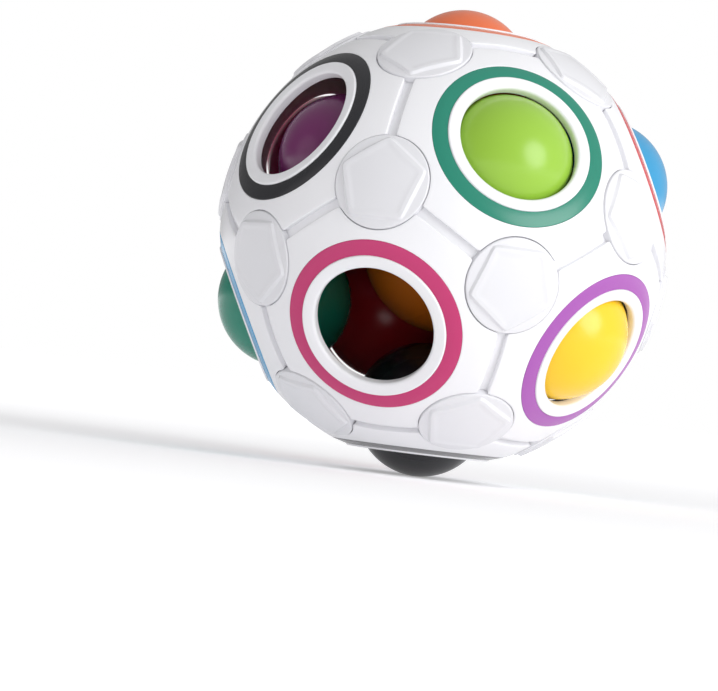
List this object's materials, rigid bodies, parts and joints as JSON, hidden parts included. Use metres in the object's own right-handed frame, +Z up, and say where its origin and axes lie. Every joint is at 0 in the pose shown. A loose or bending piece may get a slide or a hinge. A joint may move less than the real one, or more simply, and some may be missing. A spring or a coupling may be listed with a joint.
{
  "type": "sliding ball sphere puzzle",
  "caption": "Hollow white ball puzzle with round holes in coloured rings; loose coloured balls are pressed in and rolled round the inside to the empty hole.",
  "frame": {"origin": "centre of the spherical shell", "axes": "+Z up through the orange-ringed hole; the empty pink-ringed hole faces -Y and 26.6 degrees down; +X to the right seen from the empty hole"},
  "size_m": [0.0701, 0.0712, 0.0736],
  "materials": {
    "orange_ring": "smooth moulded plastic, satin gloss",
    "teal_ring": "smooth moulded plastic, satin gloss",
    "red_ring": "smooth moulded plastic, satin gloss",
    "yellow_ring": "smooth moulded plastic, satin gloss",
    "navy_ring": "smooth moulded plastic, satin gloss",
    "black_ring": "smooth moulded plastic, satin gloss",
    "lilac_ring": "smooth moulded plastic, satin gloss",
    "lime_ring": "smooth moulded plastic, satin gloss",
    "plum_ring": "smooth moulded plastic, satin gloss",
    "sky_ring": "smooth moulded plastic, satin gloss",
    "pink_ring": "smooth moulded plastic, satin gloss",
    "grey_ring": "smooth moulded plastic, satin gloss",
    "orange_ball": "moulded plastic ball, soft gloss",
    "lime_ball": "moulded plastic ball, soft gloss",
    "sky_ball": "moulded plastic ball, soft gloss",
    "lilac_ball": "moulded plastic ball, soft gloss",
    "pink_ball": "moulded plastic ball, soft gloss",
    "plum_ball": "moulded plastic ball, soft gloss",
    "yellow_ball": "moulded plastic ball, soft gloss",
    "navy_ball": "moulded plastic ball, soft gloss",
    "red_ball": "moulded plastic ball, soft gloss",
    "teal_ball": "moulded plastic ball, soft gloss",
    "black_ball": "moulded plastic ball, soft gloss",
    "white_shell": "glossy white moulded plastic",
    "white_cap": "glossy white moulded plastic",
    "amber_core": "smooth moulded plastic"
  },
  "bodies": {
    "shell": {"panel_orange": "white_shell", "panel_teal": "white_shell", "panel_red": "white_shell", "panel_yellow": "white_shell", "panel_navy": "white_shell", "panel_black": "white_shell", "panel_lilac": "white_shell", "panel_lime": "white_shell", "panel_plum": "white_shell", "panel_sky": "white_shell", "panel_pink": "white_shell", "panel_grey": "white_shell", "ring_orange": "orange_ring", "ring_teal": "teal_ring", "ring_red": "red_ring", "ring_yellow": "yellow_ring", "ring_navy": "navy_ring", "ring_black": "black_ring", "ring_lilac": "lilac_ring", "ring_lime": "lime_ring", "ring_plum": "plum_ring", "ring_sky": "sky_ring", "ring_pink": "pink_ring", "ring_grey": "grey_ring", "cap_orange_teal_red": "white_cap", "cap_orange_teal_black": "white_cap", "cap_orange_red_yellow": "white_cap", "cap_orange_yellow_navy": "white_cap", "cap_orange_navy_black": "white_cap", "cap_teal_red_lilac": "white_cap", "cap_teal_black_pink": "white_cap", "cap_teal_lilac_pink": "white_cap", "cap_red_yellow_lime": "white_cap", "cap_red_lilac_lime": "white_cap", "cap_yellow_navy_plum": "white_cap", "cap_yellow_lime_plum": "white_cap", "cap_navy_black_sky": "white_cap", "cap_navy_plum_sky": "white_cap", "cap_black_sky_pink": "white_cap", "cap_lilac_lime_grey": "white_cap", "cap_lilac_pink_grey": "white_cap", "cap_lime_plum_grey": "white_cap", "cap_plum_sky_grey": "white_cap", "cap_sky_pink_grey": "white_cap"},
    "core": {"core_ball": "amber_core"},
    "plum_ball": {"ball_plum": "plum_ball"},
    "orange_ball": {"ball_orange": "orange_ball"},
    "lime_ball": {"ball_lime": "lime_ball"},
    "sky_ball": {"ball_sky": "sky_ball"},
    "lilac_ball": {"ball_lilac": "lilac_ball"},
    "pink_ball": {"ball_pink": "pink_ball"},
    "yellow_ball": {"ball_yellow": "yellow_ball"},
    "navy_ball": {"ball_navy": "navy_ball"},
    "red_ball": {"ball_red": "red_ball"},
    "teal_ball": {"ball_teal": "teal_ball"},
    "black_ball": {"ball_black": "black_ball"}
  },
  "joints": [
    {"name": "core_turn", "type": "hinge", "parent": "shell", "child": "core", "pos_m": [0, 0, 0], "axis": [0.809, -0.2629, 0.5257], "range_deg": [0, 63.43]},
    {"name": "press_plum", "type": "slide", "parent": "core", "child": "plum_ball", "axis": [-0.5257, -0.7236, 0.4472], "range_m": [0, 0.00384]},
    {"name": "press_orange", "type": "slide", "parent": "shell", "child": "orange_ball", "axis": [0, 0, -1], "range_m": [0, 0.00171]},
    {"name": "press_lime", "type": "slide", "parent": "shell", "child": "lime_ball", "axis": [-0.5257, 0.7236, -0.4472], "range_m": [0, 0.00305]},
    {"name": "press_sky", "type": "slide", "parent": "shell", "child": "sky_ball", "axis": [-0.8507, -0.2764, -0.4472], "range_m": [0, 0.00171]},
    {"name": "press_lilac", "type": "slide", "parent": "shell", "child": "lilac_ball", "axis": [0, -0.8944, -0.4472], "range_m": [0, 0.00084]},
    {"name": "press_pink", "type": "slide", "parent": "shell", "child": "pink_ball", "axis": [0.8507, -0.2764, -0.4472], "range_m": [0, 0.00171]},
    {"name": "press_yellow", "type": "slide", "parent": "shell", "child": "yellow_ball", "axis": [-0.8507, 0.2764, 0.4472], "range_m": [0, 0.00171]},
    {"name": "press_navy", "type": "slide", "parent": "shell", "child": "navy_ball", "axis": [-0.5257, -0.7236, 0.4472], "range_m": [0, 0.00084]},
    {"name": "press_red", "type": "slide", "parent": "shell", "child": "red_ball", "axis": [0.5257, -0.7236, 0.4472], "range_m": [0, 0.00171]},
    {"name": "press_teal", "type": "slide", "parent": "shell", "child": "teal_ball", "axis": [0.8507, 0.2764, 0.4472], "range_m": [0, 0.00305]},
    {"name": "press_black", "type": "slide", "parent": "shell", "child": "black_ball", "axis": [0, 0, 1], "range_m": [0, 0.00171]}
  ]
}
